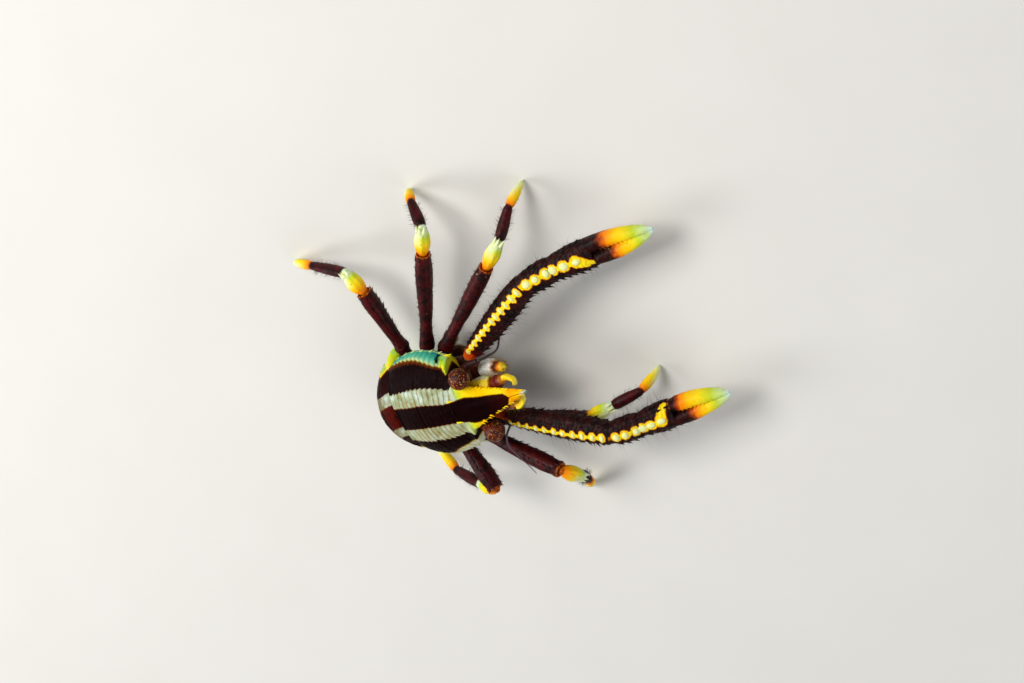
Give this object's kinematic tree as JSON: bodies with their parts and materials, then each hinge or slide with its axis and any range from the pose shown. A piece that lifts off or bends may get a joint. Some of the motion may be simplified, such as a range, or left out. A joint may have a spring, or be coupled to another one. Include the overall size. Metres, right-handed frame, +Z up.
{
  "type": "elegant squat lobster",
  "caption": "Life-size still squat lobster with a toothed beak, long slim claws and bent walking legs, standing on the floor with its tail curled under",
  "frame": {"origin": "on the floor under the middle of the model's outline seen from above", "axes": "+X forward to the head, +Y to the animal's left, +Z up from the floor"},
  "size_m": [0.0364, 0.0332, 0.0094],
  "materials": {
    "carapace_shell": "horny shell, maroon black with pale blue-green and yellow stripes lengthwise, satin",
    "abdomen_shell": "horny shell, maroon black with pale stripes lengthwise, satin",
    "underside_shell": "dull red-brown underside",
    "tail_fan": "thin horny plates, yellow-brown with dark bases",
    "eye": "wet dark red-brown eye with fine golden specks",
    "feeler": "dark red and yellow jointed feelers",
    "mouth_limb": "white, dark-banded and yellow mouth limbs",
    "claw_shell": "maroon-black spiny shell with a row of pale yellow beads",
    "claw_finger": "dark root turning orange, then yellow, to a pale tip",
    "leg_shell": "dark maroon shell with short bristles",
    "leg_joint": "orange turning yellow to a pale green-white end"
  },
  "bodies": {
    "root": {"carapace": "carapace_shell", "thorax": "underside_shell", "abdomen_1": "abdomen_shell", "abdomen_2": "abdomen_shell", "abdomen_3": "abdomen_shell", "abdomen_4": "abdomen_shell", "abdomen_5": "abdomen_shell", "abdomen_6": "abdomen_shell", "telson": "tail_fan", "uropod_inner_left": "tail_fan", "uropod_outer_left": "tail_fan", "uropod_inner_right": "tail_fan", "uropod_outer_right": "tail_fan", "eye_left": "eye", "eye_right": "eye", "antennule_left": "feeler", "antennule_right": "feeler", "antenna_left": "feeler", "antenna_right": "feeler", "flagellum_left": "feeler", "flagellum_right": "feeler", "maxilliped_left": "mouth_limb", "maxilliped_right": "mouth_limb", "leg5_left": "leg_shell", "leg5_right": "leg_shell", "claw_left_arm": "claw_shell", "claw_left_wrist": "claw_shell", "claw_left_palm": "claw_shell", "claw_left_finger": "claw_finger", "claw_right_arm": "claw_shell", "claw_right_wrist": "claw_shell", "claw_right_palm": "claw_shell", "claw_right_finger": "claw_finger", "leg2_left_merus": "leg_shell", "leg2_left_carpus": "leg_joint", "leg2_left_propodus": "leg_shell", "leg2_left_dactyl": "leg_joint", "leg2_right_merus": "leg_shell", "leg2_right_carpus": "leg_joint", "leg2_right_propodus": "leg_shell", "leg2_right_dactyl": "leg_joint", "leg3_left_merus": "leg_shell", "leg3_left_carpus": "leg_joint", "leg3_left_propodus": "leg_shell", "leg3_left_dactyl": "leg_joint", "leg3_right_merus": "leg_shell", "leg3_right_carpus": "leg_joint", "leg3_right_propodus": "leg_shell", "leg3_right_dactyl": "leg_joint", "leg4_left_merus": "leg_shell", "leg4_left_carpus": "leg_joint", "leg4_left_propodus": "leg_shell", "leg4_left_dactyl": "leg_joint", "leg4_right_merus": "leg_shell", "leg4_right_carpus": "leg_joint", "leg4_right_propodus": "leg_shell", "leg4_right_dactyl": "leg_joint"}
  },
  "joints": []
}
